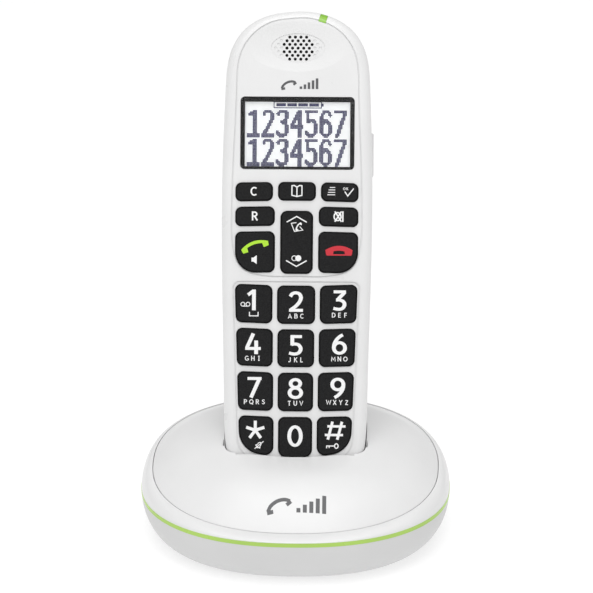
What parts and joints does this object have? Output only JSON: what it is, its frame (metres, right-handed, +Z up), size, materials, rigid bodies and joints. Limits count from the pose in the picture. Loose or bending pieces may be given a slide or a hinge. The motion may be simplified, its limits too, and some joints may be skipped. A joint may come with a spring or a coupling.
{
  "type": "cordless telephone with charging base",
  "caption": "Cordless telephone with large keys and display, leaning back in the well of a low oval charging base with a coloured seam line.",
  "frame": {"origin": "centre of the base's oval footprint, on the surface that it stands on", "axes": "+X to the user's right, front face towards -Y, +Z up"},
  "size_m": [0.1102, 0.1099, 0.1786],
  "materials": {
    "white_gloss": "glossy white",
    "white_housing": "satin white",
    "green_trim": "lime green",
    "green_indicator": "translucent green",
    "foot_rubber": "matte",
    "screw_steel": "zinc plated",
    "black_plastic": "black moulded",
    "grey_plastic": "grey moulded",
    "contact_metal": "nickel plated",
    "circuit_board": "solder mask",
    "clear_window": "clear acrylic",
    "display_glass": "pale grey display",
    "keypad_rubber": "silicone",
    "cell_wrap": "plastic sleeve on steel",
    "key_plastic": "soft matte black"
  },
  "bodies": {
    "base": {"base_lower_shell": "white_housing", "base_trim_ring": "green_trim", "base_upper_shell": "white_gloss", "base_top_cover": "white_housing", "base_foot_ring": "foot_rubber", "base_screws": "screw_steel", "line_jack": "black_plastic", "power_jack": "black_plastic", "contact_carrier": "black_plastic", "base_charge_contacts": "contact_metal", "base_circuit_board": "circuit_board", "base_antenna": "contact_metal"},
    "handset": {"handset_front_shell": "white_gloss", "handset_rear_shell": "white_gloss", "display_window": "clear_window", "display_bezel": "black_plastic", "lcd_panel": "display_glass", "lcd_holder": "black_plastic", "indicator_light_pipe": "green_indicator", "keypad_mat": "keypad_rubber", "handset_circuit_board": "circuit_board", "battery_cells": "cell_wrap", "battery_contacts": "contact_metal", "handset_charge_contacts": "contact_metal", "handset_screws": "screw_steel", "earpiece": "black_plastic", "loudspeaker": "black_plastic", "microphone": "black_plastic", "handset_antenna": "contact_metal"},
    "key_1": {"key_1": "key_plastic"},
    "key_2": {"key_2": "key_plastic"},
    "key_3": {"key_3": "key_plastic"},
    "key_4": {"key_4": "key_plastic"},
    "key_5": {"key_5": "key_plastic"},
    "key_6": {"key_6": "key_plastic"},
    "key_7": {"key_7": "key_plastic"},
    "key_8": {"key_8": "key_plastic"},
    "key_9": {"key_9": "key_plastic"},
    "key_star": {"key_star": "key_plastic"},
    "key_0": {"key_0": "key_plastic"},
    "key_hash": {"key_hash": "key_plastic"},
    "key_clear": {"key_clear": "key_plastic"},
    "key_phonebook": {"key_phonebook": "key_plastic"},
    "key_menu_ok": {"key_menu_ok": "key_plastic"},
    "key_recall": {"key_recall": "key_plastic"},
    "key_mute": {"key_mute": "key_plastic"},
    "key_talk": {"key_talk": "key_plastic"},
    "key_end": {"key_end": "key_plastic"},
    "key_navigation": {"key_navigation": "key_plastic"},
    "volume_rocker": {"volume_rocker": "white_gloss"},
    "battery_cover": {"battery_cover": "white_gloss"},
    "paging_button": {"paging_button": "grey_plastic"}
  },
  "joints": [
    {"name": "handset_lift", "type": "slide", "parent": "base", "child": "handset", "axis": [0, 0.3746, 0.9272], "range_m": [0, 0.06]},
    {"name": "key_1_press", "type": "slide", "parent": "handset", "child": "key_1", "axis": [0, 0.9272, -0.3746], "range_m": [0, 0.0007], "stiffness_N_per_m": 1500, "springref_m": -0.0003},
    {"name": "key_2_press", "type": "slide", "parent": "handset", "child": "key_2", "axis": [0, 0.9272, -0.3746], "range_m": [0, 0.0007], "stiffness_N_per_m": 1500, "springref_m": -0.0003},
    {"name": "key_3_press", "type": "slide", "parent": "handset", "child": "key_3", "axis": [0, 0.9272, -0.3746], "range_m": [0, 0.0007], "stiffness_N_per_m": 1500, "springref_m": -0.0003},
    {"name": "key_4_press", "type": "slide", "parent": "handset", "child": "key_4", "axis": [0, 0.9272, -0.3746], "range_m": [0, 0.0007], "stiffness_N_per_m": 1500, "springref_m": -0.0003},
    {"name": "key_5_press", "type": "slide", "parent": "handset", "child": "key_5", "axis": [0, 0.9272, -0.3746], "range_m": [0, 0.0007], "stiffness_N_per_m": 1500, "springref_m": -0.0003},
    {"name": "key_6_press", "type": "slide", "parent": "handset", "child": "key_6", "axis": [0, 0.9272, -0.3746], "range_m": [0, 0.0007], "stiffness_N_per_m": 1500, "springref_m": -0.0003},
    {"name": "key_7_press", "type": "slide", "parent": "handset", "child": "key_7", "axis": [0, 0.9272, -0.3746], "range_m": [0, 0.0007], "stiffness_N_per_m": 1500, "springref_m": -0.0003},
    {"name": "key_8_press", "type": "slide", "parent": "handset", "child": "key_8", "axis": [0, 0.9272, -0.3746], "range_m": [0, 0.0007], "stiffness_N_per_m": 1500, "springref_m": -0.0003},
    {"name": "key_9_press", "type": "slide", "parent": "handset", "child": "key_9", "axis": [0, 0.9272, -0.3746], "range_m": [0, 0.0007], "stiffness_N_per_m": 1500, "springref_m": -0.0003},
    {"name": "key_star_press", "type": "slide", "parent": "handset", "child": "key_star", "axis": [0, 0.9272, -0.3746], "range_m": [0, 0.0007], "stiffness_N_per_m": 1500, "springref_m": -0.0003},
    {"name": "key_0_press", "type": "slide", "parent": "handset", "child": "key_0", "axis": [0, 0.9272, -0.3746], "range_m": [0, 0.0007], "stiffness_N_per_m": 1500, "springref_m": -0.0003},
    {"name": "key_hash_press", "type": "slide", "parent": "handset", "child": "key_hash", "axis": [0, 0.9272, -0.3746], "range_m": [0, 0.0007], "stiffness_N_per_m": 1500, "springref_m": -0.0003},
    {"name": "key_clear_press", "type": "slide", "parent": "handset", "child": "key_clear", "axis": [0, 0.9272, -0.3746], "range_m": [0, 0.0007], "stiffness_N_per_m": 1500, "springref_m": -0.0003},
    {"name": "key_phonebook_press", "type": "slide", "parent": "handset", "child": "key_phonebook", "axis": [0, 0.9272, -0.3746], "range_m": [0, 0.0007], "stiffness_N_per_m": 1500, "springref_m": -0.0003},
    {"name": "key_menu_ok_press", "type": "slide", "parent": "handset", "child": "key_menu_ok", "axis": [0, 0.9272, -0.3746], "range_m": [0, 0.0007], "stiffness_N_per_m": 1500, "springref_m": -0.0003},
    {"name": "key_recall_press", "type": "slide", "parent": "handset", "child": "key_recall", "axis": [0, 0.9272, -0.3746], "range_m": [0, 0.0007], "stiffness_N_per_m": 1500, "springref_m": -0.0003},
    {"name": "key_mute_press", "type": "slide", "parent": "handset", "child": "key_mute", "axis": [0, 0.9272, -0.3746], "range_m": [0, 0.0007], "stiffness_N_per_m": 1500, "springref_m": -0.0003},
    {"name": "key_talk_press", "type": "slide", "parent": "handset", "child": "key_talk", "axis": [0, 0.9272, -0.3746], "range_m": [0, 0.0007], "stiffness_N_per_m": 1500, "springref_m": -0.0003},
    {"name": "key_end_press", "type": "slide", "parent": "handset", "child": "key_end", "axis": [0, 0.9272, -0.3746], "range_m": [0, 0.0007], "stiffness_N_per_m": 1500, "springref_m": -0.0003},
    {"name": "navigation_rock", "type": "hinge", "parent": "handset", "child": "key_navigation", "pos_m": [0, 0.01882, 0.10347], "axis": [1, 0, 0], "range_deg": [-2.5, 2.5], "stiffness_Nm_per_rad": 0.35},
    {"name": "volume_rock", "type": "hinge", "parent": "handset", "child": "volume_rocker", "pos_m": [0.023, 0.03484, 0.13032], "axis": [0, 0.9272, -0.3746], "range_deg": [-2.5, 2.5], "stiffness_Nm_per_rad": 0.1},
    {"name": "battery_cover_tilt", "type": "hinge", "parent": "handset", "child": "battery_cover", "pos_m": [0, 0.01768, 0.04299], "axis": [-1, 0, 0], "range_deg": [0, 45]},
    {"name": "paging_press", "type": "slide", "parent": "base", "child": "paging_button", "axis": [0, -1, 0], "range_m": [0, 0.0008], "stiffness_N_per_m": 1500, "springref_m": -0.0003}
  ]
}
